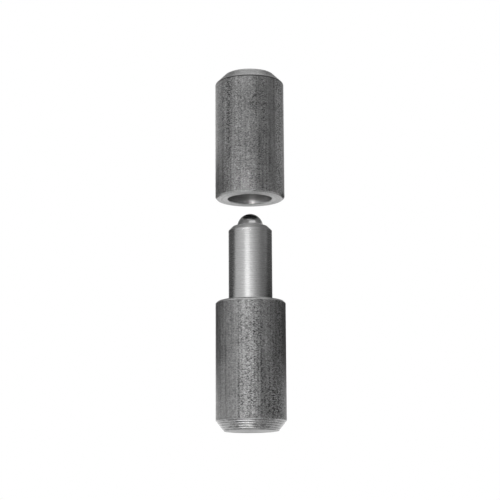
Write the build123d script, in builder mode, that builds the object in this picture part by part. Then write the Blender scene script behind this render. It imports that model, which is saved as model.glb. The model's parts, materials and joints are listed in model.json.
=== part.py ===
from build123d import *

import math
import os

# Weld-on lift-off hinge: two barrels turned from round bar, a pin pressed into the lower one,
# and a loose ball in the pin's end that carries the upper one.
# Millimetres. The hinge axis is +Z, and the origin is the centre of the lower barrel's end face.
# The upper barrel is shown lifted off its pin.

# Barrels
barrel_diameter = 16.0
lower_barrel_length = 29.25
upper_barrel_length = 29.75
weld_chamfer_height = 2.3
foot_chamfer_depth = 1.8
top_chamfer_depth = 2.3
running_edge_break = 0.4

# Pin
pin_diameter = 10.0
pin_standout = 17.5
pin_press_depth = 18.0
pin_end_chamfer = 1.0
pin_hole_lead_in = 0.4

# Ball
ball_diameter = 6.0
ball_proud = 3.0

# Fits
drill_point_angle = 118.0
socket_clearance = 0.05
socket_deburr = 0.15
cup_clearance = 0.05
seat_clearance = 0.03
running_gap = 1.0

# How far the upper barrel is lifted above its seated place
lift_height = 23.05

# Radii
barrel_radius = barrel_diameter / 2
pin_radius = pin_diameter / 2
ball_radius = ball_diameter / 2
socket_radius = pin_radius + socket_clearance
cup_radius = ball_radius + cup_clearance

# Heights on the lower half
running_face = lower_barrel_length
pin_foot = running_face - pin_press_depth
pin_end = running_face + pin_standout
ball_centre = pin_end + ball_proud - ball_radius

# The ball bears on the cone that the drill leaves, so each cone's tip follows from the ball
point_half_angle = math.radians(drill_point_angle / 2)
tip_reach = (ball_radius + seat_clearance) / math.sin(point_half_angle)
cup_tip = ball_centre - tip_reach
socket_tip = ball_centre + tip_reach + lift_height

# Heights on the upper half
mouth_face = running_face + running_gap + lift_height


def point_length(radius):
    """Length of the cone that a drill of this radius leaves past its shoulder."""
    return radius / math.tan(point_half_angle)


def drilled_section(radius, mouth, tip):
    """Half section of a blind drilled hole, from the height of its mouth to the tip of its cone."""
    shoulder = tip + math.copysign(point_length(radius), mouth - tip)
    with BuildSketch(Plane.XZ) as section:
        with BuildLine():
            Polyline((0, mouth), (radius, mouth), (radius, shoulder), (0, tip), close=True)
        make_face()
    return section.sketch


def mouth_edge(holed, face_height):
    """The smallest round edge of a piece at the height of a face, which is the mouth of its hole."""
    round_edges = holed.edges().filter_by(GeomType.CIRCLE)
    return round_edges.filter_by_position(Axis.Z, face_height, face_height).sort_by(SortBy.RADIUS)[0]


# Lower barrel: welded to the frame, drilled from its running face for the pin
with BuildPart() as lower_barrel:
    with BuildSketch(Plane.XY):
        Circle(barrel_radius)
    extrude(amount=lower_barrel_length)
    foot = lower_barrel.faces().sort_by(Axis.Z)[0]
    chamfer(foot.edges(), foot_chamfer_depth, weld_chamfer_height, reference=foot)
    chamfer(lower_barrel.edges().group_by(Axis.Z)[-1], running_edge_break)
    pin_hole_tip = pin_foot - point_length(pin_radius)
    revolve(drilled_section(pin_radius, running_face, pin_hole_tip), axis=Axis.Z, mode=Mode.SUBTRACT)
    chamfer(mouth_edge(lower_barrel, running_face), pin_hole_lead_in)

# Hinge pin: chamfered both ends, with a drilled cup for the ball in its free end
with BuildPart() as hinge_pin:
    with BuildSketch(Plane.XY.offset(pin_foot)):
        Circle(pin_radius)
    extrude(amount=pin_press_depth + pin_standout)
    chamfer(hinge_pin.edges().filter_by(GeomType.CIRCLE), pin_end_chamfer)
    revolve(drilled_section(cup_radius, pin_end, cup_tip), axis=Axis.Z, mode=Mode.SUBTRACT)

# Thrust ball: loose in the pin's cup
with BuildPart() as thrust_ball:
    with Locations((0, 0, ball_centre)):
        Sphere(ball_radius)

# Upper barrel: welded to the door leaf, with a blind socket whose cone seats on the ball
with BuildPart() as upper_barrel:
    with BuildSketch(Plane.XY.offset(mouth_face)):
        Circle(barrel_radius)
    extrude(amount=upper_barrel_length)
    top = upper_barrel.faces().sort_by(Axis.Z)[-1]
    chamfer(top.edges(), top_chamfer_depth, weld_chamfer_height, reference=top)
    chamfer(upper_barrel.edges().group_by(Axis.Z)[0], running_edge_break)
    revolve(drilled_section(socket_radius, mouth_face, socket_tip), axis=Axis.Z, mode=Mode.SUBTRACT)
    chamfer(mouth_edge(upper_barrel, mouth_face), socket_deburr)

lower_barrel.part.label = "lower_barrel"
hinge_pin.part.label = "hinge_pin"
thrust_ball.part.label = "thrust_ball"
upper_barrel.part.label = "upper_barrel"

os.makedirs("parts", exist_ok=True)
export_step(lower_barrel.part, "parts/lower_barrel.step")
export_step(hinge_pin.part, "parts/hinge_pin.step")
export_step(thrust_ball.part, "parts/thrust_ball.step")
export_step(upper_barrel.part, "parts/upper_barrel.step")
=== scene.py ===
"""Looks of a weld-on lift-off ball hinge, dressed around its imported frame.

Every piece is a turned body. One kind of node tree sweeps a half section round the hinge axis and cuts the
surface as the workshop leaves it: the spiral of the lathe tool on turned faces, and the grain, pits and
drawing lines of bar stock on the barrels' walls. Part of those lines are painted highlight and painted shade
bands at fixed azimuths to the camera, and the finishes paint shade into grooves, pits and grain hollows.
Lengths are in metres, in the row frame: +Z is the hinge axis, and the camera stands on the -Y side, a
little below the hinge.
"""

import json
import logging
import math
from collections.abc import Sequence
from dataclasses import dataclass, field, fields
from enum import Enum, IntEnum
from itertools import pairwise

import bpy
from mathutils import Matrix, Vector

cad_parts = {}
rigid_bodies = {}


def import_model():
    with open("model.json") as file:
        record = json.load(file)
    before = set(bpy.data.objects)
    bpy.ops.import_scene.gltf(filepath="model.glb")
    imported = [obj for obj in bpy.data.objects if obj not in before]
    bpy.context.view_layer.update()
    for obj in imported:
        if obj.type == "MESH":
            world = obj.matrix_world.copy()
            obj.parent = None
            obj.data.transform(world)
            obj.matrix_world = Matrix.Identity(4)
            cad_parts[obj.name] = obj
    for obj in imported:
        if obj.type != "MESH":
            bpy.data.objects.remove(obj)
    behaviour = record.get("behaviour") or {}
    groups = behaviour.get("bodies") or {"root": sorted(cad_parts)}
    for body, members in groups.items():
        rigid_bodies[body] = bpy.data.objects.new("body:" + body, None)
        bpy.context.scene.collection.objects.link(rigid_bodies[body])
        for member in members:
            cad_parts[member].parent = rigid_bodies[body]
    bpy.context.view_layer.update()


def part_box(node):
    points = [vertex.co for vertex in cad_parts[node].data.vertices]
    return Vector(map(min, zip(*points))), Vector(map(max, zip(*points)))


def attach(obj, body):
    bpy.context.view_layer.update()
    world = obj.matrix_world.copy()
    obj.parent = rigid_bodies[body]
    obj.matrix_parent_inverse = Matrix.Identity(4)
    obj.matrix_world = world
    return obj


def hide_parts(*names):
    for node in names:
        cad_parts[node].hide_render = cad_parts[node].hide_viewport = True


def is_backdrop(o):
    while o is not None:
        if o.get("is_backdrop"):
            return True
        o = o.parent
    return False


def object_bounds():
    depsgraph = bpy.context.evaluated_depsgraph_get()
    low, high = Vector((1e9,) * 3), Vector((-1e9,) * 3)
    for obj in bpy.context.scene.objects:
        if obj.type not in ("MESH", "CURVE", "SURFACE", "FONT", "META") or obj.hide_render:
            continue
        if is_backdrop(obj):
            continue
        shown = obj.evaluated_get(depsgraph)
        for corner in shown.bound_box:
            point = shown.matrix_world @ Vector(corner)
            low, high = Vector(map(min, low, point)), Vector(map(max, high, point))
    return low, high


MM = 0.001
WHITE = (1.0, 1.0, 1.0, 1.0)
LOG = logging.getLogger("hinge")

Socket = bpy.types.NodeSocket
Value = float | int | Sequence[float] | Socket
Tones = tuple[tuple[float, float], ...]


class Zone(IntEnum):
    """The finishes that a turned piece can show along its section."""

    SKIN = 0
    BURR = 1
    TURNED = 2
    RIDGED = 3
    DRILLED = 4
    PIN = 5
    BEVEL = 6
    BALL = 7


class Body(Enum):
    """The rigid bodies of the frame that pieces ride on."""

    LOWER = "lower_half"
    BALL = "ball"
    UPPER = "upper_half"


class Slot(Enum):
    """The record's material slots."""

    BAR = "bar_steel"
    PIN = "pin_steel"
    BALL = "ball_steel"


@dataclass(frozen=True)
class Cut:
    """How the rows of one zone are spaced and cut.

    Attributes:
        step: Distance between rows along the section.
        marks: Share of the piece's tool marks that the zone takes.
        grain: Share of the piece's bar skin that the zone takes.
    """

    step: float
    marks: float = 0.0
    grain: float = 0.0


Materials = dict[Zone, bpy.types.Material]

CUTS: dict[Zone, Cut] = {
    Zone.SKIN: Cut(step=0.13 * MM, grain=1.0),
    Zone.BURR: Cut(step=0.05 * MM, grain=0.6),
    Zone.TURNED: Cut(step=0.11 * MM, marks=0.3),
    Zone.RIDGED: Cut(step=0.08 * MM, marks=1.0),
    Zone.DRILLED: Cut(step=0.8 * MM),
    Zone.PIN: Cut(step=0.07 * MM, marks=1.0),
    Zone.BEVEL: Cut(step=0.07 * MM, marks=1.0),
    Zone.BALL: Cut(step=0.07 * MM),
}


class NodeBench:
    """Adds nodes to one tree and joins them."""

    def __init__(self, tree: bpy.types.NodeTree) -> None:
        """Takes the tree to work on."""
        self.tree = tree

    def add(self, kind: str, inputs: dict[str, Value] | None = None, **settings: object) -> bpy.types.Node:
        """Adds a node.

        Args:
            kind: The node's type name.
            inputs: Values or sockets for its inputs, by input name.
            **settings: The node's own properties.

        Returns:
            The new node.
        """
        node = self.tree.nodes.new(kind)
        for name, value in settings.items():
            setattr(node, name, value)
        for name, value in (inputs or {}).items():
            self.feed(node.inputs[name], value)
        return node

    def feed(self, socket: Socket, value: Value) -> None:
        """Gives an input its value.

        Args:
            socket: The input.
            value: An output to link it to, or a value of its own.
        """
        if isinstance(value, Socket):
            self.tree.links.new(value, socket)
        else:
            socket.default_value = value

    def operate(self, kind: str, operation: str, values: Sequence[Value]) -> bpy.types.Node:
        """Adds a node that works on operands.

        Args:
            kind: The node's type name.
            operation: The operation's name.
            values: Its operands, in order.

        Returns:
            The new node.
        """
        node = self.add(kind, operation=operation)
        for socket, value in zip(node.inputs, values):
            self.feed(socket, value)
        return node

    def math(self, operation: str, *values: Value) -> Socket:
        """The result of a Math node on numbers."""
        return self.operate("ShaderNodeMath", operation, values).outputs[0]

    def vector(self, operation: str, *values: Value) -> Socket:
        """The result of a Vector Math node on vectors, a number for DOT_PRODUCT and LENGTH."""
        outputs = self.operate("ShaderNodeVectorMath", operation, values).outputs
        return outputs["Value" if operation in ("DOT_PRODUCT", "LENGTH") else "Vector"]

    def scaled(self, vector: Value, factor: Value) -> Socket:
        """A vector times a number."""
        inputs = {"Vector": vector, "Scale": factor}
        return self.add("ShaderNodeVectorMath", inputs, operation="SCALE").outputs["Vector"]

    def squashed(self, vector: Value, factor: float) -> Socket:
        """A place read so that patterns come out shorter along the axis, or longer below 1."""
        return self.vector("MULTIPLY", vector, (1.0, 1.0, factor))

    def combine(self, x: Value, y: Value, z: Value) -> Socket:
        """Makes a vector of three numbers."""
        return self.add("ShaderNodeCombineXYZ", {"X": x, "Y": y, "Z": z}).outputs[0]

    def split(self, vector: Value) -> tuple[Socket, ...]:
        """Takes a vector apart into three numbers."""
        return tuple(self.add("ShaderNodeSeparateXYZ", {"Vector": vector}).outputs)

    def noise(self, vector: Value, size: Value, detail: float = 2.0, seed: Value = 0.0) -> Socket:
        """Adds a noise pattern.

        Args:
            vector: Where it is read, in metres.
            size: Width of its features.
            detail: Number of finer layers.
            seed: Which of its patterns.

        Returns:
            A number about 0.5.
        """
        scale = self.math("DIVIDE", 1.0, size)
        inputs = {"Vector": vector, "W": seed, "Scale": scale, "Detail": detail}
        return self.add("ShaderNodeTexNoise", inputs, noise_dimensions="4D").outputs[0]

    def wave(self, turns: Value) -> Socket:
        """A cosine of a number of turns, from 0 to 1."""
        cosine = self.math("COSINE", self.math("MULTIPLY", turns, math.tau))
        return self.math("MULTIPLY_ADD", cosine, 0.5, 0.5)

    def blend(self, low: Value, high: Value, share: Value) -> Socket:
        """Goes from one number to another by a share, which may pass 0 and 1."""
        return self.math("MULTIPLY_ADD", self.math("SUBTRACT", high, low), share, low)


def empty_bench(owner: bpy.types.Material | bpy.types.World) -> NodeBench:
    """Empties the node tree of a material or a world.

    Args:
        owner: The material or the world.

    Returns:
        A bench on its tree.
    """
    owner.use_nodes = True
    owner.node_tree.nodes.clear()
    return NodeBench(owner.node_tree)


def put(name: str, data: bpy.types.ID) -> bpy.types.Object:
    """Adds an object to the scene.

    Args:
        name: Its name.
        data: Its mesh, lamp or camera.

    Returns:
        The object.
    """
    item = bpy.data.objects.new(name, data)
    bpy.context.scene.collection.objects.link(item)
    return item


@dataclass(frozen=True)
class Corner:
    """A corner of a half section.

    Attributes:
        radius: Distance from the hinge axis.
        height: Height in the row frame.
        zone: Finish of the run that starts here.
        edge: Radius of the rounded edge.
        edge_zone: Finish of the rounded edge, where it isn't that of the run.
    """

    radius: float
    height: float
    zone: Zone
    edge: float = 0.06 * MM
    edge_zone: Zone | None = None

    @property
    def point(self) -> Vector:
        """The corner as a point of the section's plane."""
        return Vector((self.radius, self.height))


@dataclass(frozen=True)
class Row:
    """A point of the finished section, which the tree sweeps into a ring.

    Attributes:
        point: Radius and height.
        outward: Direction out of the metal.
        along: Distance from the section's start.
        zone: Finish from here to the next row.
    """

    point: Vector
    outward: Vector
    along: float
    zone: Zone


class Section:
    """A half section, listed from the axis round to the axis with the metal on its left.

    Attributes:
        arc_steps: Divisions of a rounded corner.
        axis_fade: Distance from the axis within which tool marks and bar skin fade out.
    """

    arc_steps = 4
    axis_fade = 0.5 * MM

    def __init__(self, corners: Sequence[Corner]) -> None:
        """Takes the corners, of which the first and last lie on the axis."""
        self.corners = corners

    @staticmethod
    def outward(direction: Vector) -> Vector:
        """Direction out of the metal beside a run."""
        return Vector((direction.y, -direction.x))

    def rows(self) -> list[Row]:
        """Divides the runs into rows and rounds the corners.

        Returns:
            The rows, from the axis round to the axis.
        """
        points = [corner.point for corner in self.corners]
        ways = [(end - start).normalized() for start, end in pairwise(points)]
        turns = [0.0] + [before.angle_signed(after) for before, after in pairwise(ways)] + [0.0]
        trims = [corner.edge * math.tan(abs(turn) / 2) for corner, turn in zip(self.corners, turns)]
        rows: list[Row] = []
        for index, way in enumerate(ways):
            corner = self.corners[index]
            if index:
                self.round_corner(rows, corner, ways[index - 1], way, trims[index])
            start = points[index] + way * trims[index]
            end = points[index + 1] - way * trims[index + 1]
            count = max(1, math.ceil((end - start).length / CUTS[corner.zone].step))
            for step in range(count + 1):
                self.append(rows, start.lerp(end, step / count), self.outward(way), corner.zone)
        return rows

    def round_corner(
        self, rows: list[Row], corner: Corner, before: Vector, after: Vector, trim: float
    ) -> None:
        """Adds the inner rows of a rounded corner.

        Args:
            rows: The rows so far, which it adds to.
            corner: The corner.
            before: Direction of the run into it.
            after: Direction of the run out of it.
            trim: How far the round starts from the corner.
        """
        zone = corner.zone if corner.edge_zone is None else corner.edge_zone
        out_before, out_after = self.outward(before), self.outward(after)
        bulge = math.copysign(corner.edge, before.x * after.y - before.y * after.x)
        centre = corner.point - before * trim - out_before * bulge
        last = rows.pop()
        rows.append(Row(last.point, last.outward, last.along, zone))
        for step in range(1, self.arc_steps):
            outward = out_before.lerp(out_after, step / self.arc_steps).normalized()
            self.append(rows, centre + outward * bulge, outward, zone)

    @staticmethod
    def append(rows: list[Row], point: Vector, outward: Vector, zone: Zone) -> None:
        """Adds one row at the end."""
        along = rows[-1].along + (point - rows[-1].point).length if rows else 0.0
        rows.append(Row(point, outward, along, zone))

    def mesh(self, name: str) -> tuple[bpy.types.Mesh, list[Zone]]:
        """Makes the line that the tree sweeps.

        Args:
            name: Name of the mesh.

        Returns:
            A mesh of one point for each row, with the row's facts as attributes, and the zones in use.
        """
        rows = self.rows()
        mesh = bpy.data.meshes.new(name)
        places = [(row.point.x, 0.0, row.point.y) for row in rows]
        mesh.from_pydata(places, list(pairwise(range(len(rows)))), [])
        fades = [min(1.0, row.point.x / self.axis_fade) for row in rows]
        numbers = {
            "along": [row.along for row in rows],
            "marks": [CUTS[row.zone].marks * fade for row, fade in zip(rows, fades)],
            "grain": [CUTS[row.zone].grain * fade for row, fade in zip(rows, fades)],
        }
        for key, values in numbers.items():
            mesh.attributes.new(key, "FLOAT", "POINT").data.foreach_set("value", values)
        zones = [int(row.zone) for row in rows]
        mesh.attributes.new("zone", "INT", "POINT").data.foreach_set("value", zones)
        outward = [number for row in rows for number in (row.outward.x, 0.0, row.outward.y)]
        mesh.attributes.new("outward", "FLOAT_VECTOR", "POINT").data.foreach_set("vector", outward)
        return mesh, sorted({row.zone for row in rows})


@dataclass(frozen=True)
class DieLineAndPaintedBand:
    """A line or band along a bar, in part left by the drawing die and in part painted highlight where
    lighter and painted shade where darker.

    Attributes:
        azimuth: Where it lies, in degrees to the right of the side that faces the camera.
        width: Its half width in degrees.
        tone: How much lighter it is, or darker below 0.
    """

    azimuth: float
    width: float
    tone: float


@dataclass(frozen=True)
class Scar:
    """A patch of the bar that rust or a knock left rougher and darker.

    Attributes:
        azimuth: Where its middle lies, in degrees to the right of the side that faces the camera.
        height: Height of its middle.
        width: Its half width in degrees.
        length: Its half length along the bar.
        strength: How much rougher it is.
    """

    azimuth: float
    height: float
    width: float
    length: float
    strength: float


@dataclass(frozen=True)
class Workshop:
    """How a piece's surface was worked.

    Attributes:
        segments: Divisions round the axis.
        mark_pitch: Feed of the lathe tool, from ridge to ridge.
        mark_depth: Depth of its grooves.
        grain_size: Width of the skin's grain round the bar.
        ripple_pitch: Distance between the ripples that cross the skin.
        grain_depth: Depth of grain and ripples.
        pit_spacing: Distance between pits in the skin.
        pit_size: Radius of a pit.
        pit_depth: Depth of a pit.
        seed: Which of the random patterns.
        lines: Lines that the drawing die left, in part painted highlight and painted shade bands.
        scars: Rough patches of the skin.
    """

    segments: int = 256
    mark_pitch: float = 0.8 * MM
    mark_depth: float = 0.13 * MM
    grain_size: float = 0.45 * MM
    ripple_pitch: float = 0.66 * MM
    grain_depth: float = 0.045 * MM
    pit_spacing: float = 2.6 * MM
    pit_size: float = 0.35 * MM
    pit_depth: float = 0.02 * MM
    seed: int = 1
    lines: tuple[DieLineAndPaintedBand, ...] = ()
    scars: tuple[Scar, ...] = ()


class TurningTree(NodeBench):
    """The node tree that turns a section into a piece with a worked surface.

    Each number of the workshop is an input of the tree.
    """

    socket_kinds = {int: "NodeSocketInt", float: "NodeSocketFloat"}
    merge_distance = 0.002 * MM

    # How the tool's spiral drifts, and how it comes and goes
    pitch_drift = 0.35
    drift_length = 1.1 * MM
    chatter_length = 1.9 * MM
    chatter_squash = 3.5
    chatter_depths = (-0.6, 2.4)
    chatter_seed = 7.0

    # How grain, ripples, patches, scars and pits make up the bar's skin
    grain_squash = 1.2
    grain_gain = 1.6
    ripple_share = 0.1
    ripple_sway = 2.5
    sway_length = 1.6 * MM
    sway_seed = 3.0
    patch_length = 7.0 * MM
    patch_gains = (0.5, 1.5)
    patch_seed = 5.0
    scar_sink = 0.05
    pit_shape = 0.6

    def __init__(self, name: str, workshop: Workshop, finishes: Materials) -> None:
        """Builds the tree.

        Args:
            name: Name of the piece.
            workshop: How its surface was worked.
            finishes: Its materials by zone.
        """
        super().__init__(bpy.data.node_groups.new(f"{name}_turning", "GeometryNodeTree"))
        self.workshop = workshop
        face = self.tree.interface
        face.new_socket("Section", in_out="INPUT", socket_type="NodeSocketGeometry")
        self.inputs: dict[str, str] = {}
        for size in fields(Workshop):
            kind = self.socket_kinds.get(size.type)
            if kind:
                label = size.name.replace("_", " ").title()
                self.inputs[size.name] = face.new_socket(label, in_out="INPUT", socket_type=kind).identifier
        face.new_socket("Piece", in_out="OUTPUT", socket_type="NodeSocketGeometry")
        self.given = self.add("NodeGroupInput").outputs
        self.build(finishes)

    def apply(self, blank: bpy.types.Object) -> bpy.types.Mesh:
        """Runs the tree on a section.

        Args:
            blank: Object whose mesh is the section.

        Returns:
            The piece as a plain mesh.
        """
        modifier = blank.modifiers.new("turning", "NODES")
        modifier.node_group = self.tree
        for size, identifier in self.inputs.items():
            modifier[identifier] = getattr(self.workshop, size)
        graph = bpy.context.evaluated_depsgraph_get()
        turned = blank.evaluated_get(graph)
        return bpy.data.meshes.new_from_object(turned, preserve_all_data_layers=True, depsgraph=graph)

    def sample(self, attribute: str, kind: str, index: Value) -> Socket:
        """Reads one of the section's facts at a row.

        Args:
            attribute: Name of the fact, or position.
            kind: Its data type.
            index: Number of the row.

        Returns:
            The fact.
        """
        named = self.add("GeometryNodeInputNamedAttribute", {"Name": attribute}, data_type=kind)
        inputs = {"Geometry": self.given["Section"], "Value": named.outputs["Attribute"], "Index": index}
        return self.add("GeometryNodeSampleIndex", inputs, data_type=kind).outputs[0]

    def count_rows(self) -> Socket:
        """The number of rows in the section."""
        size = self.add("GeometryNodeAttributeDomainSize", {"Geometry": self.given["Section"]})
        return size.outputs["Point Count"]

    def split_index(self, rows: Value) -> tuple[Socket, Socket]:
        """Splits a grid element's index into its column and its row.

        Args:
            rows: Elements in a column.

        Returns:
            The column and the row.
        """
        index = self.add("GeometryNodeInputIndex").outputs[0]
        column = self.math("FLOOR", self.math("DIVIDE", self.math("ADD", index, 0.5), rows))
        row = self.math("SUBTRACT", index, self.math("MULTIPLY", column, rows))
        return column, row

    def reseeded(self, step: float) -> Socket:
        """The piece's seed, moved on to another pattern."""
        return self.math("ADD", self.given["Seed"], step)

    def marks(self, place: Value, along: Value, lap: Value, share: Value) -> Socket:
        """The tool's spiral groove.

        Args:
            place: Where it is read.
            along: Distance along the section.
            lap: Share of a turn round the axis.
            share: Share of the marks at this row.

        Returns:
            0 on a ridge, and about 1 in a groove.
        """
        line = self.combine(0.0, 0.0, along)
        shift = self.noise(line, self.drift_length, seed=self.given["Seed"])
        drift = self.math("MULTIPLY", shift, self.pitch_drift)
        turns = self.math("ADD", self.math("DIVIDE", along, self.given["Mark Pitch"]), lap)
        groove = self.math("MULTIPLY", self.wave(self.math("ADD", turns, drift)), share)
        squashed = self.squashed(place, self.chatter_squash)
        chatter = self.noise(squashed, self.chatter_length, seed=self.reseeded(self.chatter_seed))
        depth = self.math("MAXIMUM", self.blend(*self.chatter_depths, chatter), 0.0)
        return self.math("MULTIPLY", groove, depth)

    def skin(self, place: Value, scar: Value) -> Socket:
        """The grain of the bar's skin and the wavy ripples across it.

        Args:
            place: Where it is read.
            scar: How much rougher the skin is there.

        Returns:
            A depth about 0.5.
        """
        squashed = self.squashed(place, self.grain_squash)
        grain = self.noise(squashed, self.given["Grain Size"], detail=1.0, seed=self.given["Seed"])
        sway = self.noise(place, self.sway_length, seed=self.reseeded(self.sway_seed))
        laps = self.math("DIVIDE", self.split(place)[2], self.given["Ripple Pitch"])
        ripple = self.wave(self.math("MULTIPLY_ADD", sway, self.ripple_sway, laps))
        patch = self.noise(place, self.patch_length, detail=1.0, seed=self.reseeded(self.patch_seed))
        mixed = self.blend(grain, ripple, self.math("MULTIPLY", patch, self.ripple_share))
        rougher = self.math("ADD", self.blend(*self.patch_gains, patch), scar)
        gain = self.math("MULTIPLY", rougher, self.grain_gain)
        level = self.math("MULTIPLY_ADD", scar, self.scar_sink, 0.5)
        return self.math("MULTIPLY_ADD", self.math("SUBTRACT", mixed, 0.5), gain, level)

    def off_azimuth(self, side: Value, azimuth: float, width: float) -> Socket:
        """How far a direction from the axis lies from an azimuth.

        Args:
            side: Direction from the axis.
            azimuth: Degrees to the right of the side that faces the camera.
            width: Degrees off it at which the result is -1.

        Returns:
            0 at the azimuth and lower away from it, by the cosine.
        """
        angle = math.radians(azimuth)
        lies = (math.sin(angle), -math.cos(angle), 0.0)
        off = self.math("SUBTRACT", self.vector("DOT_PRODUCT", side, lies), 1.0)
        return self.math("DIVIDE", off, 1.0 - math.cos(math.radians(width)))

    def scars(self, side: Value, height: Value) -> Value:
        """How much rougher the scars make the skin.

        Args:
            side: Direction from the axis.
            height: Height on the axis.

        Returns:
            A number that is 0 away from the scars.
        """
        total: Value = 0.0
        for scar in self.workshop.scars:
            across = self.off_azimuth(side, scar.azimuth, scar.width)
            up = self.math("DIVIDE", self.math("SUBTRACT", height, scar.height), scar.length)
            off = self.math("SUBTRACT", across, self.math("MULTIPLY", up, up))
            total = self.math("MULTIPLY_ADD", self.math("EXPONENT", off), scar.strength, total)
        return total

    def die_lines(self, side: Value) -> Value:
        """The tone of the die's lines, which are in part painted highlight and painted shade bands.

        Args:
            side: Direction from the axis.

        Returns:
            How much lighter the skin is, or darker below 0.
        """
        total: Value = 0.0
        for line in self.workshop.lines:
            shade = self.math("EXPONENT", self.off_azimuth(side, line.azimuth, line.width))
            total = self.math("MULTIPLY_ADD", shade, line.tone, total)
        return total

    def pits(self, place: Value) -> Socket:
        """The pits of the bar's skin.

        Args:
            place: Where they are read.

        Returns:
            From 0 outside a pit to 1 at its bottom.
        """
        spacing = self.given["Pit Spacing"]
        inputs = {"Vector": place, "W": self.given["Seed"], "Scale": self.math("DIVIDE", 1.0, spacing)}
        cells = self.add("ShaderNodeTexVoronoi", inputs, voronoi_dimensions="4D")
        away = self.math("MULTIPLY", cells.outputs["Distance"], spacing)
        near = self.math("SUBTRACT", 1.0, self.math("DIVIDE", away, self.given["Pit Size"]))
        return self.math("POWER", self.math("MAXIMUM", near, 0.0), self.pit_shape)

    def around(self, side: Value, fact: str, row: Value) -> Socket:
        """A vector of the section at a row, carried round the axis to a direction from it."""
        radial, _, axial = self.split(self.sample(fact, "FLOAT_VECTOR", row))
        return self.vector("ADD", self.scaled(side, radial), self.combine(0.0, 0.0, axial))

    def surface(self, column: Value, row: Value) -> tuple[Socket, dict[str, Value]]:
        """The worked surface.

        Args:
            column: Number of the column round the axis.
            row: Number of the row along the section.

        Returns:
            Where the surface lies, and the facts that its finish reads.
        """
        lap = self.math("DIVIDE", column, self.given["Segments"])
        turn = self.math("MULTIPLY", lap, math.tau)
        side = self.combine(self.math("COSINE", turn), self.math("SINE", turn), 0.0)
        place, outward = (self.around(side, fact, row) for fact in ("position", "outward"))
        along, marks, grain = (self.sample(fact, "FLOAT", row) for fact in ("along", "marks", "grain"))
        groove = self.marks(place, along, lap, marks)
        scar = self.math("MULTIPLY", self.scars(side, self.split(place)[2]), grain)
        hollow = self.math("MULTIPLY", self.skin(place, scar), grain)
        pit = self.math("MULTIPLY", self.pits(place), grain)
        depth = self.math("MULTIPLY", groove, self.given["Mark Depth"])
        depth = self.math("MULTIPLY_ADD", hollow, self.given["Grain Depth"], depth)
        depth = self.math("MULTIPLY_ADD", pit, self.given["Pit Depth"], depth)
        sunk = self.vector("SUBTRACT", place, self.scaled(outward, depth))
        lines = self.die_lines(side)
        return sunk, {"groove": groove, "pit": pit, "hollow": hollow, "scar": scar, "die_line_and_painted_band": lines}

    def store(self, mesh: Socket, name: str, kind: str, domain: str, value: Value) -> Socket:
        """Keeps a fact on the piece for its finish."""
        inputs = {"Geometry": mesh, "Name": name, "Value": value}
        return self.add("GeometryNodeStoreNamedAttribute", inputs, data_type=kind, domain=domain).outputs[0]

    def build(self, finishes: Materials) -> None:
        """Adds all nodes.

        Args:
            finishes: The piece's materials by zone.
        """
        rows = self.count_rows()
        columns = self.math("ADD", self.given["Segments"], 1.0)
        mesh = self.add("GeometryNodeMeshGrid", {"Vertices X": columns, "Vertices Y": rows}).outputs["Mesh"]
        sunk, facts = self.surface(*self.split_index(rows))
        for name, fact in facts.items():
            mesh = self.store(mesh, name, "FLOAT", "POINT", fact)
        _, face_row = self.split_index(self.math("SUBTRACT", rows, 1.0))
        mesh = self.store(mesh, "zone", "INT", "FACE", self.sample("zone", "INT", face_row))
        for kind, inputs in (
            ("GeometryNodeSetPosition", {"Position": sunk}),
            ("GeometryNodeMergeByDistance", {"Distance": self.merge_distance}),
            ("GeometryNodeSetShadeSmooth", {}),
            ("GeometryNodeRealizeInstances", {}),
        ):
            mesh = self.add(kind, {"Geometry": mesh} | inputs).outputs[0]
        self.add("NodeGroupOutput", {"Piece": self.dress(mesh, finishes)})

    def dress(self, mesh: Socket, finishes: Materials) -> Socket:
        """Gives each zone its material.

        Args:
            mesh: The piece so far.
            finishes: The materials by zone, of which the first covers what the others leave.

        Returns:
            The finished piece.
        """
        for place, (zone, material) in enumerate(finishes.items()):
            node = self.add("GeometryNodeSetMaterial", {"Geometry": mesh, "Material": material})
            if place:
                named = self.add("GeometryNodeInputNamedAttribute", {"Name": "zone"}, data_type="INT")
                same = self.add("FunctionNodeCompare", data_type="INT", operation="EQUAL")
                wanted = [socket for socket in same.inputs if socket.enabled]
                self.feed(wanted[0], named.outputs["Attribute"])
                self.feed(wanted[1], int(zone))
                self.feed(node.inputs["Selection"], same.outputs[0])
            mesh = node.outputs[0]
        return mesh


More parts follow.
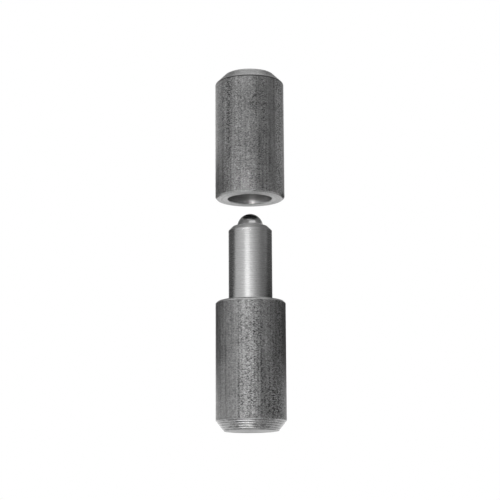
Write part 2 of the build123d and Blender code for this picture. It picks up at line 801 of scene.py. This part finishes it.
@dataclass(frozen=True)
class Finish:
    """A metal finish: its tone, its gloss and the size of its pattern.

    Attributes:
        name: Name of the material.
        tone: Grey of the metal.
        contrast: How far the tone varies.
        roughness: Roughness of the metal.
        spread: How far the roughness varies.
        bump: Strength of the finest relief.
        bump_depth: Height of the finest relief.
        metallic: How metallic the surface is, where scale covers the metal.
        brushing: How far the gloss is drawn out across marks that run round the axis.
    """

    name: str
    tone: float
    contrast: float
    roughness: float
    spread: float
    bump: float
    bump_depth: float = 0.01 * MM
    metallic: float = 1.0
    brushing: float = 0.0

    # The darkest grey, and the turn from along the marks to across them
    darkest = 0.01
    quarter_turn = 0.25

    def build(self) -> bpy.types.Material:
        """Makes the material.

        Returns:
            A metal whose tone, gloss and relief follow the finish's own pattern.
        """
        material = bpy.data.materials.new(self.name)
        bench = empty_bench(material)
        place = bench.add("ShaderNodeTexCoord").outputs["Object"]
        tone, gloss, relief = self.pattern(bench, place)
        shade = bench.math("MULTIPLY_ADD", tone, self.contrast, self.tone)
        grey = bench.math("MAXIMUM", shade, self.darkest)
        colour = bench.add("ShaderNodeCombineColor", dict.fromkeys(("Red", "Green", "Blue"), grey))
        rough = bench.math("MULTIPLY_ADD", gloss, self.spread, self.roughness)
        heights = {"Strength": self.bump, "Distance": self.bump_depth, "Height": relief}
        bump = bench.add("ShaderNodeBump", heights)
        around = bench.add("ShaderNodeTangent", direction_type="RADIAL", axis="Z")
        shader = bench.add(
            "ShaderNodeBsdfPrincipled",
            {
                "Base Color": colour.outputs[0],
                "Metallic": self.metallic,
                "Roughness": rough,
                "Normal": bump.outputs[0],
                "Anisotropic": self.brushing,
                "Anisotropic Rotation": self.quarter_turn,
                "Tangent": around.outputs[0],
            },
        )
        bench.add("ShaderNodeOutputMaterial", {"Surface": shader.outputs[0]})
        return material

    def pattern(self, bench: NodeBench, place: Value) -> tuple[Value, Value, Value]:
        """The finish's pattern at a place: its tone and its gloss, each about 0, and its relief."""
        raise NotImplementedError

    @staticmethod
    def fact(bench: NodeBench, name: str) -> Socket:
        """A fact that the turning tree kept on the piece."""
        return bench.add("ShaderNodeAttribute", attribute_name=name).outputs["Fac"]

    @staticmethod
    def cloud(bench: NodeBench, place: Value, size: float, detail: float, seed: float) -> Socket:
        """A noise pattern about 0."""
        return bench.math("SUBTRACT", bench.noise(place, size, detail, seed), 0.5)


@dataclass(frozen=True)
class BarSkin(Finish):
    """The dark, mottled skin of drawn bar, with streaks along its length.

    Attributes:
        mottle_size: Width of the mottling.
        mottle_share: How much the mottling shows.
        fleck_size: Width of the flecks round the bar.
        fleck_squash: How much shorter the flecks are along the bar.
        fleck_share: How much the flecks show.
        fleck_relief: How far they stand out beside the mottling.
        worm_size: Width of the loops that the light squiggles follow.
        worm_squash: How much shorter the loops are along the bar.
        worm_width: Width of a squiggle, as a share of its pattern.
        worm_share: How light the squiggles are.
        scar_share: How much more the flecks show in a scar.
        patch_size: Width of lighter and darker patches.
        patch_share: How much the patches show.
        streak_size: Width of the streaks.
        streak_stretch: Squeeze of the pattern along the bar that draws it into streaks.
        streak_share: How much the streaks show.
        streak_gloss: How much they change the gloss beside the mottling.
        band_size: Width of the bands along the bar in which the flecks come and go.
        band_share: How far they come and go.
        pit_share: How much shade is painted into the pits.
        hollow_share: How much shade is painted into the hollows of the grain.
    """

    mottle_size: float = 0.8 * MM
    mottle_share: float = 0.2
    fleck_size: float = 0.29 * MM
    fleck_squash: float = 2.4
    fleck_share: float = 3.1
    fleck_relief: float = 0.6
    worm_size: float = 0.75 * MM
    worm_squash: float = 1.4
    worm_width: float = 0.035
    worm_share: float = 0.3
    scar_share: float = 0.7
    patch_size: float = 7.0 * MM
    patch_share: float = 0.7
    streak_size: float = 0.5 * MM
    streak_stretch: float = 0.02
    streak_share: float = 1.15
    streak_gloss: float = 0.6
    band_size: float = 2.4 * MM
    band_share: float = 3.0
    pit_share: float = 0.25
    hollow_share: float = 0.3

    def pattern(self, bench: NodeBench, place: Value) -> tuple[Value, Value, Value]:
        """Mottling, flecks, squiggles, patches and streaks, with the die's lines and painted light and shade
        bands, and painted shade in the pits and the grain's hollows.

        Args:
            bench: Where its nodes go.
            place: Where it is read.

        Returns:
            Its tone and its gloss, each about 0, and its relief.
        """
        squashed = bench.squashed(place, self.fleck_squash)
        drawn = bench.squashed(place, self.streak_stretch)
        mottle = self.cloud(bench, place, self.mottle_size, detail=3.0, seed=2.0)
        fleck = self.cloud(bench, squashed, self.fleck_size, detail=1.0, seed=5.0)
        patch = self.cloud(bench, place, self.patch_size, detail=2.0, seed=8.0)
        streak = self.cloud(bench, drawn, self.streak_size, detail=2.0, seed=11.0)
        band = self.cloud(bench, drawn, self.band_size, detail=1.0, seed=17.0)
        fade = bench.math("MAXIMUM", bench.math("MULTIPLY_ADD", band, self.band_share, 1.0), 0.0)
        scarred = bench.math("MULTIPLY_ADD", self.fact(bench, "scar"), self.scar_share, 1.0)
        shown = bench.math("MULTIPLY", bench.math("MULTIPLY", scarred, fade), self.fleck_share)
        hollow = bench.math("SUBTRACT", self.fact(bench, "hollow"), 0.5)
        tone = bench.math("MULTIPLY", mottle, self.mottle_share)
        for layer, share in (
            (fleck, shown),
            (self.worms(bench, place), self.worm_share),
            (patch, self.patch_share),
            (streak, self.streak_share),
            # In part die lines, in part painted highlight and painted shade bands
            (self.fact(bench, "die_line_and_painted_band"), 1.0),
            # Painted shade in the pits and in the grain's hollows
            (self.fact(bench, "pit"), -self.pit_share),
            (hollow, -self.hollow_share),
        ):
            tone = bench.math("MULTIPLY_ADD", layer, share, tone)
        gloss = bench.math("MULTIPLY_ADD", streak, self.streak_gloss, mottle)
        relief = bench.math("MULTIPLY_ADD", fleck, self.fleck_relief, mottle)
        return tone, gloss, relief

    def worms(self, bench: NodeBench, place: Value) -> Socket:
        """The light squiggles of the grain, along one level of a noise pattern.

        Args:
            bench: Where the nodes go.
            place: Where the pattern is read.

        Returns:
            From 0 beside a squiggle to 1 on it.
        """
        squashed = bench.squashed(place, self.worm_squash)
        level = self.cloud(bench, squashed, self.worm_size, detail=0.0, seed=13.0)
        off = bench.math("DIVIDE", bench.math("ABSOLUTE", level), self.worm_width)
        return bench.math("MAXIMUM", bench.math("SUBTRACT", 1.0, off), 0.0)


@dataclass(frozen=True)
class TurnedFace(Finish):
    """A face that the lathe tool left, with fine rings and painted shade in the tool's grooves.

    Attributes:
        ring_size: Width of the fine rings.
        groove_share: How much shade is painted into the tool's grooves.
        fleck_size: Width of the flecks.
        fleck_share: How much the flecks show.
    """

    ring_size: float = 0.09 * MM
    groove_share: float = 0.5
    fleck_size: float = 0.3 * MM
    fleck_share: float = 0.7

    def pattern(self, bench: NodeBench, place: Value) -> tuple[Value, Value, Value]:
        """Rings round the axis, flecks, and painted shade in the tool's grooves.

        Args:
            bench: Where its nodes go.
            place: Where it is read.

        Returns:
            Its tone and its gloss, each about 0, and its relief.
        """
        x, y, height = bench.split(place)
        radius = bench.vector("LENGTH", bench.combine(x, y, 0.0))
        section_place = bench.combine(radius, 0.0, height)
        ring = self.cloud(bench, section_place, self.ring_size, detail=2.0, seed=4.0)
        fleck = self.cloud(bench, place, self.fleck_size, detail=2.0, seed=6.0)
        worn = bench.math("MULTIPLY_ADD", fleck, self.fleck_share, ring)
        # Painted shade: the tool's grooves are darkened in the colour
        tone = bench.math("MULTIPLY_ADD", self.fact(bench, "groove"), -self.groove_share, worn)
        return tone, worn, ring


@dataclass(frozen=True)
class PolishedBall(Finish):
    """A lapped bearing ball with a faint haze.

    Attributes:
        haze_size: Width of the haze.
    """

    haze_size: float = 1.5 * MM

    def pattern(self, bench: NodeBench, place: Value) -> tuple[Value, Value, Value]:
        """A soft haze in tone, gloss and relief."""
        haze = self.cloud(bench, place, self.haze_size, detail=3.0, seed=9.0)
        return haze, haze, haze


FINISHES: dict[Zone, Finish] = {
    Zone.SKIN: BarSkin(
        "bar_skin", tone=0.176, contrast=0.22, roughness=0.42, spread=0.2, bump=0.5, metallic=0.82
    ),
    # A near-black finish for the rounded edge below the upper barrel's chamfer
    Zone.BURR: BarSkin(
        "dark_edge", tone=0.05, contrast=0.04, roughness=0.5, spread=0.2, bump=0.3, metallic=0.65
    ),
    Zone.TURNED: TurnedFace(
        "turned_face", tone=0.43, contrast=0.6, roughness=0.38, spread=0.2, bump=0.2, brushing=0.5,
        ring_size=0.3 * MM, fleck_share=1.1
    ),
    Zone.RIDGED: TurnedFace(
        "ridged_face", tone=0.53, contrast=0.3, roughness=0.25, spread=0.2, bump=0.2, brushing=0.5,
        groove_share=1.0
    ),
    Zone.DRILLED: TurnedFace(
        "drilled_wall", tone=0.35, contrast=0.4, roughness=0.32, spread=0.1, bump=0.2, brushing=0.85,
        metallic=0.85, ring_size=0.5 * MM, fleck_share=0.2
    ),
    Zone.PIN: TurnedFace(
        "turned_pin", tone=0.36, contrast=0.12, roughness=0.27, spread=0.16, bump=0.25,
        groove_share=0.3, fleck_share=0.2
    ),
    Zone.BEVEL: TurnedFace(
        "turned_bevel", tone=0.46, contrast=0.12, roughness=0.6, spread=0.16, bump=0.25, brushing=0.8
    ),
    Zone.BALL: PolishedBall(
        "ball_steel", tone=0.48, contrast=0.06, roughness=0.18, spread=0.06, bump=0.02
    ),
}


@dataclass
class TurnedPiece:
    """A piece of the hinge that stands for one CAD node.

    Attributes:
        node: Name of the CAD node.
        body: The body that it rides on.
        slot: The record's material slot; not used.
        workshop: How its surface was worked.
    """

    node: str
    body: Body
    slot: Slot
    workshop: Workshop

    @property
    def radius(self) -> float:
        """Outer radius of the CAD node."""
        low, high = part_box(self.node)
        return (high.x - low.x) / 2

    @property
    def bottom(self) -> float:
        """Height of the CAD node's lowest point."""
        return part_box(self.node)[0].z

    @property
    def top(self) -> float:
        """Height of the CAD node's highest point."""
        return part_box(self.node)[1].z

    def section(self) -> Section:
        """The piece's half section."""
        raise NotImplementedError

    def build(self, finishes: Materials) -> None:
        """Turns the section into the finished piece and puts it on its body.

        Args:
            finishes: The materials of all zones.
        """
        name = f"{self.node}_turned"
        line, zones = self.section().mesh(f"{name}_section")
        blank = put(f"{name}_blank", line)
        mesh = TurningTree(name, self.workshop, {zone: finishes[zone] for zone in zones}).apply(blank)
        mesh.name = name
        bpy.data.objects.remove(blank)
        bpy.data.meshes.remove(line)
        piece = put(name, mesh)
        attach(piece, self.body.value)
        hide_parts(self.node)
        LOG.info("%s: %d faces, on %s", name, len(mesh.polygons), self.body.value)


@dataclass(frozen=True)
class DrillPoint:
    """The cone at the bottom of a drilled hole.

    Attributes:
        angle: Its angle from side to side, in degrees.
    """

    angle: float = 118.0

    @property
    def half(self) -> float:
        """Half the cone's angle, in radians."""
        return math.radians(self.angle / 2)

    def length(self, radius: float) -> float:
        """Length of the cone in a hole of this radius."""
        return radius / math.tan(self.half)

    def reach(self, radius: float) -> float:
        """Distance from the centre of a sphere to the tip of the cone that it touches."""
        return radius / math.sin(self.half)


@dataclass
class LowerBarrel(TurnedPiece):
    """The lower barrel: chamfered end, bar skin, running face and the hole that holds the pin.

    Attributes:
        chamfer_depth: How far the end's chamfer cuts into the wall.
        chamfer_height: How far it reaches up the wall.
        edge_break: Chamfer of the running face's edge.
        worn_edge: Radius of the edges at both ends of the wall.
        lead_in: Chamfer of the hole's mouth.
        hole_radius: Radius of the hole.
        hole_depth: Depth of its straight wall.
        drill: Cone at its bottom.
    """

    chamfer_depth: float = 1.8 * MM
    chamfer_height: float = 2.3 * MM
    edge_break: float = 0.4 * MM
    worn_edge: float = 0.2 * MM
    lead_in: float = 0.4 * MM
    hole_radius: float = 5.0 * MM
    hole_depth: float = 18.0 * MM
    drill: DrillPoint = field(default_factory=DrillPoint)

    def section(self) -> Section:
        """From the end face up the wall, over the running face and down the pin's hole.

        Returns:
            The half section.
        """
        wall, end, face = self.radius, self.bottom, self.top
        shoulder = face - self.hole_depth
        return Section([
            Corner(0.0, end, Zone.TURNED),
            Corner(wall - self.chamfer_depth, end, Zone.RIDGED),
            Corner(wall, end + self.chamfer_height, Zone.SKIN, edge=self.worn_edge, edge_zone=Zone.TURNED),
            Corner(wall, face - self.edge_break, Zone.TURNED, edge=self.worn_edge),
            Corner(wall - self.edge_break, face, Zone.TURNED),
            Corner(self.hole_radius + self.lead_in, face, Zone.TURNED),
            Corner(self.hole_radius, face - self.lead_in, Zone.DRILLED),
            Corner(self.hole_radius, shoulder, Zone.DRILLED),
            Corner(0.0, shoulder - self.drill.length(self.hole_radius), Zone.DRILLED),
        ])


@dataclass
class HingePin(TurnedPiece):
    """The pin: chamfered at both ends, with the ball's cup drilled in its free end.

    Attributes:
        chamfer: Chamfer of both ends.
        end_edge: Radius of the edges of the free end's chamfer.
        press_depth: How deep the pin sits in the lower barrel.
        hidden_margin: How far below the barrel's face the tool marks start.
        cup_radius: Radius of the ball's cup.
        cup_edge: Radius of the cup's edge.
        seat_radius: Radius of the sphere that the cup's cone touches.
        drill: Cone at the cup's bottom.
    """

    chamfer: float = 1.0 * MM
    end_edge: float = 0.12 * MM
    press_depth: float = 18.0 * MM
    hidden_margin: float = 1.0 * MM
    cup_radius: float = 3.05 * MM
    cup_edge: float = 0.1 * MM
    seat_radius: float = 3.03 * MM
    drill: DrillPoint = field(default_factory=DrillPoint)

    def section(self) -> Section:
        """From the foot up the wall, over the end and down the ball's cup.

        Returns:
            The half section.
        """
        wall, foot, end = self.radius, self.bottom, self.top
        tip = end - self.drill.reach(self.seat_radius)
        return Section([
            Corner(0.0, foot, Zone.DRILLED),
            Corner(wall - self.chamfer, foot, Zone.DRILLED),
            Corner(wall, foot + self.chamfer, Zone.DRILLED),
            Corner(wall, foot + self.press_depth - self.hidden_margin, Zone.PIN, edge=0.0),
            Corner(wall, end - self.chamfer, Zone.BEVEL, edge=self.end_edge),
            Corner(wall - self.chamfer, end, Zone.BEVEL, edge=self.end_edge),
            Corner(self.cup_radius, end, Zone.DRILLED, edge=self.cup_edge),
            Corner(self.cup_radius, tip + self.drill.length(self.cup_radius), Zone.DRILLED),
            Corner(0.0, tip, Zone.DRILLED),
        ])


@dataclass
class ThrustBall(TurnedPiece):
    """The loose ball in the pin's cup.

    Attributes:
        arcs: Number of runs from pole to pole.
    """

    arcs: int = 48

    def section(self) -> Section:
        """Half a circle from pole to pole.

        Returns:
            The half section.
        """
        radius, centre = self.radius, (self.top + self.bottom) / 2
        angles = [math.pi * step / self.arcs - math.pi / 2 for step in range(1, self.arcs)]
        corners = [
            Corner(radius * math.cos(angle), centre + radius * math.sin(angle), Zone.BALL, edge=0.0)
            for angle in angles
        ]
        return Section([Corner(0.0, self.bottom, Zone.BALL), *corners, Corner(0.0, self.top, Zone.BALL)])


@dataclass
class UpperBarrel(TurnedPiece):
    """The upper barrel: drilled socket, mouth, bar skin and chamfered end.

    Attributes:
        chamfer: Chamfer of the end.
        burr_width: Radius of the edge below it, which is coloured near black.
        edge_break: Chamfer of the mouth's outer edge.
        worn_edge: Radius of the edge above it.
        socket_radius: Radius of the socket.
        socket_depth: Depth of its straight wall.
        deburr: Chamfer of its mouth.
        drill: Cone at its bottom.
    """

    chamfer: float = 2.3 * MM
    burr_width: float = 0.45 * MM
    edge_break: float = 0.4 * MM
    worn_edge: float = 0.2 * MM
    socket_radius: float = 5.05 * MM
    socket_depth: float = 17.0 * MM
    deburr: float = 0.15 * MM
    drill: DrillPoint = field(default_factory=DrillPoint)

    def section(self) -> Section:
        """From the tip of the socket down its wall, across the mouth, up the wall and over the end.

        Returns:
            The half section.
        """
        wall, mouth, end = self.radius, self.bottom, self.top
        shoulder = mouth + self.socket_depth
        return Section([
            Corner(0.0, shoulder + self.drill.length(self.socket_radius), Zone.DRILLED),
            Corner(self.socket_radius, shoulder, Zone.DRILLED),
            Corner(self.socket_radius, mouth + self.deburr, Zone.TURNED),
            Corner(self.socket_radius + self.deburr, mouth, Zone.TURNED),
            Corner(wall - self.edge_break, mouth, Zone.TURNED),
            Corner(wall, mouth + self.edge_break, Zone.SKIN, edge=self.worn_edge),
            # A near-black rounded edge where the skin meets the chamfer
            Corner(wall, end - self.chamfer, Zone.TURNED, edge=self.burr_width, edge_zone=Zone.BURR),
            Corner(wall - self.chamfer, end, Zone.TURNED),
            Corner(0.0, end, Zone.TURNED),
        ])


@dataclass(frozen=True)
class Wall:
    """A curved studio wall round the hinge, which the camera doesn't see but the metal does.

    Attributes:
        name: Name of the wall.
        tones: Its tone from azimuth to azimuth, in degrees to the right of the camera, where 1 is white.
        distance: Its distance from the hinge axis.
        low: Height of its lower edge.
        high: Height of its upper edge.
        mirrored: Whether the wall shows only in reflections, and neither lights nor shades.
        strip: Width of the strips that it is made of, in degrees.
    """

    name: str
    tones: Tones
    distance: float
    low: float
    high: float
    mirrored: bool = False
    strip: float = 3.0

    def tone(self, azimuth: float) -> float:
        """The wall's tone at an azimuth.

        Args:
            azimuth: Degrees to the right of the camera.

        Returns:
            A tone between those of its neighbours.
        """
        for (left, tone_left), (right, tone_right) in pairwise(self.tones):
            if left <= azimuth <= right:
                return tone_left + (tone_right - tone_left) * (azimuth - left) / (right - left)
        return self.tones[-1][1]

    def build(self) -> None:
        """Makes the wall, as part of the stage."""
        left, right = self.tones[0][0], self.tones[-1][0]
        count = round((right - left) / self.strip)
        azimuths = [left + (right - left) * step / count for step in range(count + 1)]
        points = []
        for azimuth in azimuths:
            x = self.distance * math.sin(math.radians(azimuth))
            y = -self.distance * math.cos(math.radians(azimuth))
            points += [(x, y, self.low), (x, y, self.high)]
        faces = [(2 * k, 2 * k + 1, 2 * k + 3, 2 * k + 2) for k in range(count)]
        mesh = bpy.data.meshes.new(self.name)
        mesh.from_pydata(points, [], faces)
        tones = [self.tone(azimuth) for azimuth in azimuths for _ in range(2)]
        mesh.attributes.new("tone", "FLOAT", "POINT").data.foreach_set("value", tones)
        mesh.materials.append(self.material())
        wall = put(self.name, mesh)
        wall.visible_camera = False
        wall.visible_diffuse = not self.mirrored
        wall.visible_shadow = not self.mirrored
        wall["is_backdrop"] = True

    def material(self) -> bpy.types.Material:
        """Makes the wall's material.

        Returns:
            A material that glows by the wall's tone.
        """
        material = bpy.data.materials.new(self.name)
        bench = empty_bench(material)
        tone = bench.add("ShaderNodeAttribute", attribute_name="tone").outputs["Fac"]
        glow = bench.add("ShaderNodeEmission", {"Strength": tone})
        bench.add("ShaderNodeOutputMaterial", {"Surface": glow.outputs[0]})
        return material


def even(tone: float, left: float, right: float) -> Tones:
    """One tone from azimuth to azimuth."""
    return (left, tone), (right, tone)


# Tones of the walls that the lower barrel shows
FOOT_TONES: Tones = (
    (-180, 1.1), (-130, 1.35), (-112, 1.35), (-95, 1.15), (-50, 1.35), (-38, 1.75), (-28, 2.4), (4, 2.6),
    (15, 1.7), (24, 0.85), (34, 0.55), (55, 0.37), (70, 0.36), (88, 0.58), (102, 0.75), (115, 1.0),
    (180, 1.0),
)

# Rings of the tent from the foot up: name, height of the upper edge, and tones
TENT: tuple[tuple[str, float, Tones], ...] = (
    ("tent_skirt", -0.04, (
        (-180, 0.88), (-120, 0.9), (-80, 0.4), (-50, 0.2), (80, 0.2), (120, 0.8), (180, 0.88),
    )),
    ("tent_foot", 0.09, FOOT_TONES),
    ("tent_belt", 0.132, (
        (-180, 1.0), (-95, 0.92), (-50, 1.3), (-38, 1.7), (-28, 2.4), (4, 2.6), (15, 1.7), (24, 0.85),
        (34, 0.55), (55, 0.35), (70, 0.25), (95, 0.1), (115, 0.3), (130, 0.95), (180, 1.0),
    )),
    ("tent_pin", 0.19, (
        (-180, 1.0), (-95, 0.95), (-50, 1.1), (-10, 1.1), (0, 1.2), (15, 1.3), (37, 1.07), (55, 0.5),
        (70, 0.3), (95, 0.3), (115, 0.8), (130, 0.95), (180, 1.0),
    )),
    ("tent_top", 0.28, (
        (-180, 1.1), (-130, 1.85), (-110, 1.85), (-95, 1.6), (-76, 1.3), (-60, 1.25), (-46, 1.45),
        (-30, 0.9), (-10, 0.7), (8, 0.5), (19, 0.36), (30, 0.3), (51, 0.3), (70, 0.32), (85, 0.66),
        (100, 1.1), (112, 1.1), (130, 0.75), (180, 0.9),
    )),
    ("canopy_foot", 0.35, (
        (-180, 0.4), (-150, 0.4), (-130, 0.2), (-100, 0.2), (-60, 0.4), (60, 0.4), (100, 0.2), (130, 0.2),
        (150, 0.4), (180, 0.4),
    )),
    ("canopy", 0.7, (
        (-180, 0.4), (-150, 0.4), (-130, 0.2), (-100, 0.2), (-60, 0.3), (-16, 0.3), (-8, 1.2), (50, 1.2),
        (58, 0.3), (100, 0.2), (130, 0.2), (150, 0.4), (180, 0.4),
    )),
    ("canopy_top", 1.2, even(0.35, -180, 180)),
)

# Dark flags beside the hinge and under its foot
FLAGS: tuple[Wall, ...] = (
    Wall("left_flag", even(0.17, -155, -86), distance=0.08, low=0.043, high=0.066),
    Wall("left_flag_top", even(0.17, -155, -66), distance=0.08, low=0.066, high=0.083),
    Wall("right_flag", even(0.15, 95, 160), distance=0.08, low=0.043, high=0.071),
    Wall("left_flag_foot", even(0.03, -155, -97), distance=0.08, low=0.019, high=0.043),
    Wall("right_flag_foot", even(0.0, 80, 165), distance=0.08, low=0.018, high=0.043),
    Wall("foot_flag_left", even(0.1, -115, -18), distance=0.06, low=-0.19, high=-0.05, mirrored=True),
    Wall("foot_flag_right", even(0.1, 15, 118), distance=0.06, low=-0.19, high=-0.05, mirrored=True),
)

# A bright strip low in front of the hinge, and the flags that leave a slit for its light
LOW_STRIP: tuple[Wall, ...] = (
    Wall("low_strip", (
        (-75, 0.4), (-50, 4.0), (-35, 14.0), (-29, 150.0), (-4, 150.0), (2, 14.0), (30, 4.0), (60, 0.4),
    ), distance=0.5, low=-0.009, high=-0.002),
    Wall("strip_flag", FOOT_TONES, distance=0.25, low=-0.03, high=0.0215),
    Wall("strip_flag_top", FOOT_TONES, distance=0.25, low=0.026, high=0.045),
)


@dataclass(frozen=True)
class Softbox:
    """An area lamp that points at the hinge.

    Attributes:
        name: Name of the lamp.
        azimuth: Degrees to the right of the camera.
        elevation: Degrees above the point that it faces.
        distance: Distance from that point.
        width: Width of the lamp.
        height: Height of the lamp.
        glow: How bright it looks, where 1 is white.
        aim: Height of the point that it faces.
    """

    name: str
    azimuth: float
    elevation: float
    distance: float
    width: float
    height: float
    glow: float
    aim: float = 42.0 * MM

    def build(self) -> None:
        """Makes the lamp."""
        lamp = bpy.data.lights.new(self.name, "AREA")
        lamp.shape = "RECTANGLE"
        lamp.size = self.width
        lamp.size_y = self.height
        lamp.energy = self.glow * math.pi * self.width * self.height
        around, up = math.radians(self.azimuth), math.radians(self.elevation)
        way = Vector((math.sin(around) * math.cos(up), -math.cos(around) * math.cos(up), math.sin(up)))
        box = put(self.name, lamp)
        box.location = Vector((0.0, 0.0, self.aim)) + way * self.distance
        box.rotation_euler = (-way).to_track_quat("-Z", "Y").to_euler()
        box.visible_camera = False


@dataclass
class Studio:
    """Floor, background, walls, lamps and camera.

    Attributes:
        distance: How far the camera stands from the hinge axis.
        drop: How far it stands below the lower end face.
        pitch: How far it looks up, in degrees.
        roll: How far it is rolled, in degrees, which leans the hinge to the left.
        aside: How far it stands to the right of the axis.
        lens: Focal length in millimetres on the sensor.
        sensor: Width of the sensor in millimetres.
        clip_start: Nearest distance that it sees.
        floor_drop: How far the floor lies below the hinge.
        floor_radius: Radius of the floor.
        floor_sides: Number of the floor's sides.
        floor_tone: Grey of the floor.
        floor_roughness: Roughness of the floor.
        floor_fade: Distances from the hinge between which the floor fades to white.
        daylight: Strength of the world on what isn't a mirror.
        tent_distance: Distance of the tent from the hinge axis.
        tent_foot: Height of the tent's lower edge.
        lamps: The lamps.
    """

    distance: float = 316.65 * MM
    drop: float = 22.16 * MM
    pitch: float = 11.342
    roll: float = 0.331
    aside: float = -0.069 * MM
    lens: float = 101.33
    sensor: float = 36.0
    clip_start: float = 0.01
    floor_drop: float = 0.25
    floor_radius: float = 4.0
    floor_sides: int = 96
    floor_tone: float = 0.9
    floor_roughness: float = 0.9
    floor_fade: tuple[float, float] = (0.5, 1.6)
    daylight: float = 0.7
    tent_distance: float = 0.6
    tent_foot: float = -0.2
    lamps: tuple[Softbox, ...] = (
        Softbox("key", azimuth=-16.0, elevation=10.5, distance=0.5, width=0.2, height=0.07, glow=2.3),
        Softbox(
            "foot_card", azimuth=-22.0, elevation=-41.0, distance=0.13, width=0.09, height=0.05, glow=1.8
        ),
    )

    def build(self) -> None:
        """Makes everything that isn't the hinge."""
        self.lay_floor(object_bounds()[0].z)
        self.light_world()
        walls = [*self.tent(), *FLAGS, *LOW_STRIP]
        for item in (*walls, *self.lamps):
            item.build()
        self.place_camera()
        bpy.context.scene.view_settings.view_transform = "Standard"
        LOG.info("studio: %d walls, %d lamps", len(walls), len(self.lamps))

    def tent(self) -> list[Wall]:
        """Stacks the rings of the tent.

        Returns:
            The rings, from the foot up.
        """
        rings = []
        low = self.tent_foot
        for name, high, tones in TENT:
            rings.append(Wall(name, tones, self.tent_distance, low, high))
            low = high
        return rings

    def lay_floor(self, foot: float) -> None:
        """Lays the pale floor.

        Args:
            foot: Height of the hinge's lowest point.
        """
        bpy.ops.mesh.primitive_circle_add(
            vertices=self.floor_sides,
            radius=self.floor_radius,
            fill_type="NGON",
            location=(0.0, 0.0, foot - self.floor_drop),
        )
        floor = bpy.context.object
        floor.name = "floor"
        material = bpy.data.materials.new("pale_floor")
        material.use_nodes = True
        shader = material.node_tree.nodes["Principled BSDF"]
        shader.inputs["Base Color"].default_value = (self.floor_tone, self.floor_tone, self.floor_tone, 1.0)
        shader.inputs["Roughness"].default_value = self.floor_roughness
        shader.inputs["Emission Color"].default_value = WHITE
        bench = NodeBench(material.node_tree)
        away = bench.vector("LENGTH", bench.add("ShaderNodeTexCoord").outputs["Object"])
        near, far = self.floor_fade
        fade = bench.add("ShaderNodeMapRange", {"Value": away, "From Min": near, "From Max": far}).outputs[0]
        glow = bench.math("MULTIPLY", fade, self.background_ray(bench))
        bench.feed(shader.inputs["Emission Strength"], glow)
        floor.data.materials.append(material)
        floor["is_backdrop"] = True

    @staticmethod
    def background_ray(bench: NodeBench) -> Socket:
        """Tells rays that show the background, to the camera or in the metal, from those that light.

        Args:
            bench: Where the nodes go.

        Returns:
            1 for a ray that shows the background and 0 for one that lights.
        """
        path = bench.add("ShaderNodeLightPath").outputs
        seen = bench.math("MAXIMUM", path["Is Camera Ray"], path["Is Glossy Ray"])
        return bench.math("MAXIMUM", seen, path["Is Transmission Ray"])

    def light_world(self) -> None:
        """Makes the background white to the camera and in the metal, and plain daylight elsewhere."""
        world = bpy.data.worlds.new("studio")
        bench = empty_bench(world)
        strength = bench.blend(self.daylight, 1.0, self.background_ray(bench))
        sky = bench.add("ShaderNodeBackground", {"Color": WHITE, "Strength": strength})
        bench.add("ShaderNodeOutputWorld", {"Surface": sky.outputs[0]})
        bpy.context.scene.world = world

    def place_camera(self) -> None:
        """Puts the camera where the photograph was taken."""
        lens = bpy.data.cameras.new("camera")
        lens.lens = self.lens
        lens.sensor_width = self.sensor
        lens.clip_start = self.clip_start
        camera = put("camera", lens)
        place = Matrix.Translation((self.aside, -self.distance, -self.drop))
        tilt = Matrix.Rotation(math.radians(90.0 + self.pitch), 4, "X")
        camera.matrix_world = place @ (tilt @ Matrix.Rotation(math.radians(-self.roll), 4, "Z"))
        bpy.context.scene.camera = camera


def hinge_pieces() -> list[TurnedPiece]:
    """The pieces of the hinge, from the foot up.

    Returns:
        The pieces, ready to build.
    """
    lower_skin = Workshop(
        mark_pitch=0.62 * MM,
        mark_depth=0.1 * MM,
        seed=1,
        # Bands at fixed azimuths: in part die lines, in part painted highlight and painted shade
        lines=(
            DieLineAndPaintedBand(azimuth=-26.0, width=3.5, tone=0.14),
            DieLineAndPaintedBand(azimuth=-20.0, width=1.2, tone=-0.28),
            DieLineAndPaintedBand(azimuth=14.5, width=4.0, tone=-0.14),
            DieLineAndPaintedBand(azimuth=27.0, width=6.0, tone=0.13),
        ),
        scars=(Scar(azimuth=44.0, height=7.5 * MM, width=16.0, length=5.0 * MM, strength=1.2),),
    )
    upper_skin = Workshop(
        seed=4,
        # Bands at fixed azimuths: in part die lines, in part painted highlight and painted shade
        lines=(
            DieLineAndPaintedBand(azimuth=-38.0, width=6.0, tone=-0.1),
            DieLineAndPaintedBand(azimuth=-25.0, width=4.5, tone=0.14),
            DieLineAndPaintedBand(azimuth=12.0, width=11.0, tone=-0.15),
            DieLineAndPaintedBand(azimuth=52.0, width=4.5, tone=0.27),
        ),
    )
    pin_turning = Workshop(segments=192, mark_pitch=0.42 * MM, mark_depth=0.002 * MM, seed=2)
    ball_lapping = Workshop(segments=128, seed=3)
    return [
        LowerBarrel("lower_barrel", Body.LOWER, Slot.BAR, lower_skin),
        HingePin("hinge_pin", Body.LOWER, Slot.PIN, pin_turning),
        ThrustBall("thrust_ball", Body.BALL, Slot.BALL, ball_lapping),
        UpperBarrel("upper_barrel", Body.UPPER, Slot.BAR, upper_skin),
    ]


def main() -> None:
    """Loads the frame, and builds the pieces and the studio."""
    logging.basicConfig(level=logging.INFO)
    for item in list(bpy.data.objects):
        bpy.data.objects.remove(item)
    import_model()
    finishes = {zone: finish.build() for zone, finish in FINISHES.items()}
    for piece in hinge_pieces():
        piece.build(finishes)
    Studio().build()


if __name__ == "__main__":
    main()
